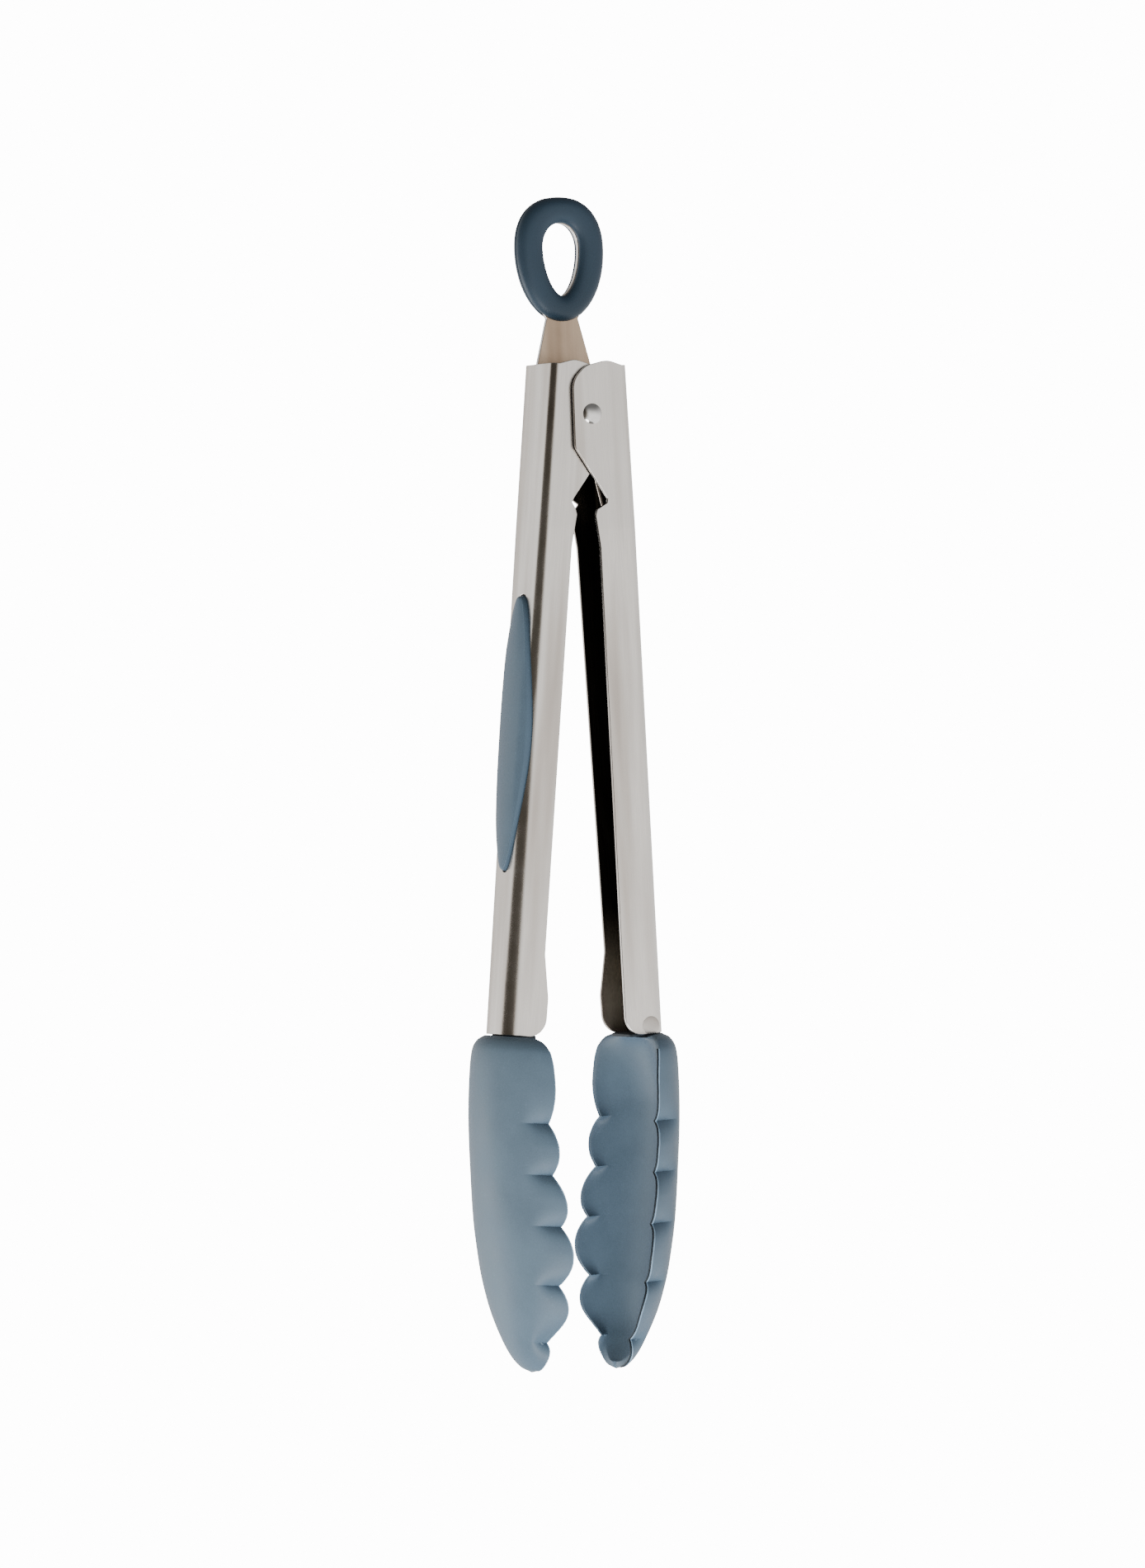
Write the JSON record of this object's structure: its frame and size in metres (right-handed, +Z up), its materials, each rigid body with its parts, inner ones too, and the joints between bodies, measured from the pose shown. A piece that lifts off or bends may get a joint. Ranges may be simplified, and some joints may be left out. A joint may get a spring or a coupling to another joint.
{
  "type": "spring loaded kitchen tongs",
  "caption": "Locking kitchen tongs: two riveted sheet steel channel arms, a torsion spring, a soft grip pad, scalloped scoop heads and a sliding pull tab with a hanging loop.",
  "frame": {"origin": "top of the pull tab's hole, where the tongs hang on a hook", "axes": "+Z up, from the heads to the pull tab; the arms open along X; +Y is the thickness, along the rivet, towards the side the pull tab lies on"},
  "size_m": [0.0565, 0.041, 0.3],
  "materials": {
    "plate_steel": "satin sheet steel, warm reflection",
    "rivet_steel": "polished domed rivet head",
    "spring_steel": "drawn wire",
    "arm_steel": "fine grain along the arm",
    "core_steel": "plain sheet steel",
    "sleeve_plastic": "black nylon",
    "head_silicone": "matt blue grey silicone",
    "pad_silicone": "matt blue grey silicone",
    "loop_silicone": "matt dark blue silicone"
  },
  "bodies": {
    "pull_tab": {"pull_plate": "plate_steel", "loop_cover_front": "loop_silicone", "loop_cover_back": "loop_silicone"},
    "pivot": {"pivot_rivet": "rivet_steel", "spring_sleeve": "sleeve_plastic", "torsion_spring": "spring_steel"},
    "left_arm": {"left_arm": "arm_steel", "left_grip_pad": "pad_silicone", "left_head_core": "core_steel", "left_head": "head_silicone"},
    "right_arm": {"right_arm": "arm_steel", "right_head_core": "core_steel", "right_head": "head_silicone"}
  },
  "joints": [
    {"name": "tab_slide", "type": "slide", "parent": "pull_tab", "child": "pivot", "axis": [-0.0419, 0, 0.9991], "range_m": [0, 0.0085]},
    {"name": "left_arm_hinge", "type": "hinge", "parent": "pivot", "child": "left_arm", "pos_m": [0.00207, -0.005, -0.04936], "axis": [0, 1, 0], "range_deg": [-2.2, 5], "stiffness_Nm_per_rad": 0.3, "springref_deg": 2.01, "deforming": ["torsion_spring"]},
    {"name": "right_arm_hinge", "type": "hinge", "parent": "pivot", "child": "right_arm", "pos_m": [0.00207, -0.005, -0.04936], "axis": [0, 1, 0], "range_deg": [-5, 2.2], "stiffness_Nm_per_rad": 0.3, "springref_deg": -2.01, "deforming": ["torsion_spring"]}
  ],
  "couplings": [
    {"joint": "right_arm_hinge", "follows": "left_arm_hinge", "ratio": -1}
  ]
}
